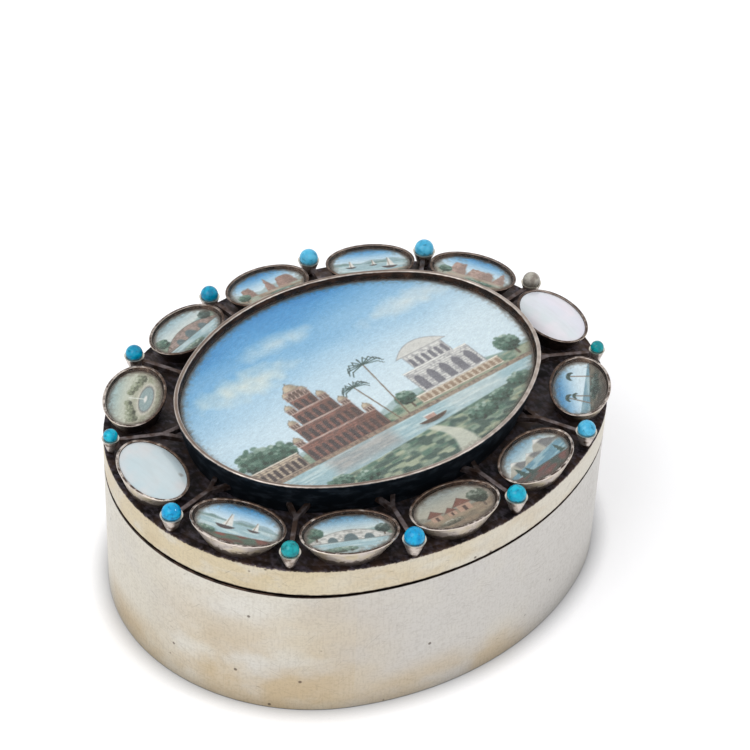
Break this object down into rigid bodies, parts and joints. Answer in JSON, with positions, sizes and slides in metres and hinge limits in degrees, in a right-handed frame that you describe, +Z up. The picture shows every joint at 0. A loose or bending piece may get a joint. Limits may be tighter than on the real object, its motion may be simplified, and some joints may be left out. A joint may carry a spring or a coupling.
{
  "type": "oval trinket box",
  "caption": "Oval silver box with a pull-off lid. On the lid a large framed picture under glass sits in a ring of small oval settings and turquoise beads.",
  "frame": {"origin": "centre of the foot of the box, on the surface it stands on", "axes": "+X along the oval's long axis towards one of the two shell settings, +Y along its short axis, +Z up through the lid"},
  "size_m": [0.0707, 0.0589, 0.0298],
  "materials": {
    "silver_wall": "worn, finely scratched silver",
    "silver_inside": "satin silver",
    "silver_gilt_band": "worn silver-gilt",
    "dark_silver": "black tarnish with bright edges",
    "worn_silver": "polished edges, dark in the recesses",
    "packing_card": "plain card",
    "painted_panel": "fine painted scene, satin",
    "clear_glass": "clear",
    "mother_of_pearl": "lustrous shell",
    "turquoise": "polished turquoise",
    "grey_bead": "dull, discoloured"
  },
  "bodies": {
    "box": {"body_wall": "silver_wall", "base_plate": "silver_wall", "body_collar": "silver_inside"},
    "lid": {"bead_01": "grey_bead", "bead_02": "turquoise", "bead_03": "turquoise", "bead_04": "turquoise", "bead_05": "turquoise", "bead_06": "turquoise", "bead_07": "turquoise", "bead_08": "turquoise", "bead_09": "turquoise", "bead_10": "turquoise", "bead_11": "turquoise", "bead_12": "turquoise", "bead_cups": "worn_silver", "brace_wires": "dark_silver", "centre_glass": "clear_glass", "centre_packing": "packing_card", "centre_picture": "painted_panel", "lid_band": "silver_gilt_band", "lid_plate": "dark_silver", "picture_frame": "dark_silver", "setting_01": "worn_silver", "setting_02": "worn_silver", "setting_03": "worn_silver", "setting_04": "worn_silver", "setting_05": "worn_silver", "setting_06": "worn_silver", "setting_07": "worn_silver", "setting_08": "worn_silver", "setting_09": "worn_silver", "setting_10": "worn_silver", "setting_11": "worn_silver", "setting_12": "worn_silver", "setting_packings": "packing_card", "shell_01": "mother_of_pearl", "shell_07": "mother_of_pearl", "small_glass_02": "clear_glass", "small_glass_03": "clear_glass", "small_glass_04": "clear_glass", "small_glass_05": "clear_glass", "small_glass_06": "clear_glass", "small_glass_08": "clear_glass", "small_glass_09": "clear_glass", "small_glass_10": "clear_glass", "small_glass_11": "clear_glass", "small_glass_12": "clear_glass", "small_picture_02": "painted_panel", "small_picture_03": "painted_panel", "small_picture_04": "painted_panel", "small_picture_05": "painted_panel", "small_picture_06": "painted_panel", "small_picture_08": "painted_panel", "small_picture_09": "painted_panel", "small_picture_10": "painted_panel", "small_picture_11": "painted_panel", "small_picture_12": "painted_panel"}
  },
  "joints": [
    {"name": "lid_lift", "type": "slide", "parent": "box", "child": "lid", "axis": [0, 0, 1], "range_m": [0, 0.03]}
  ]
}
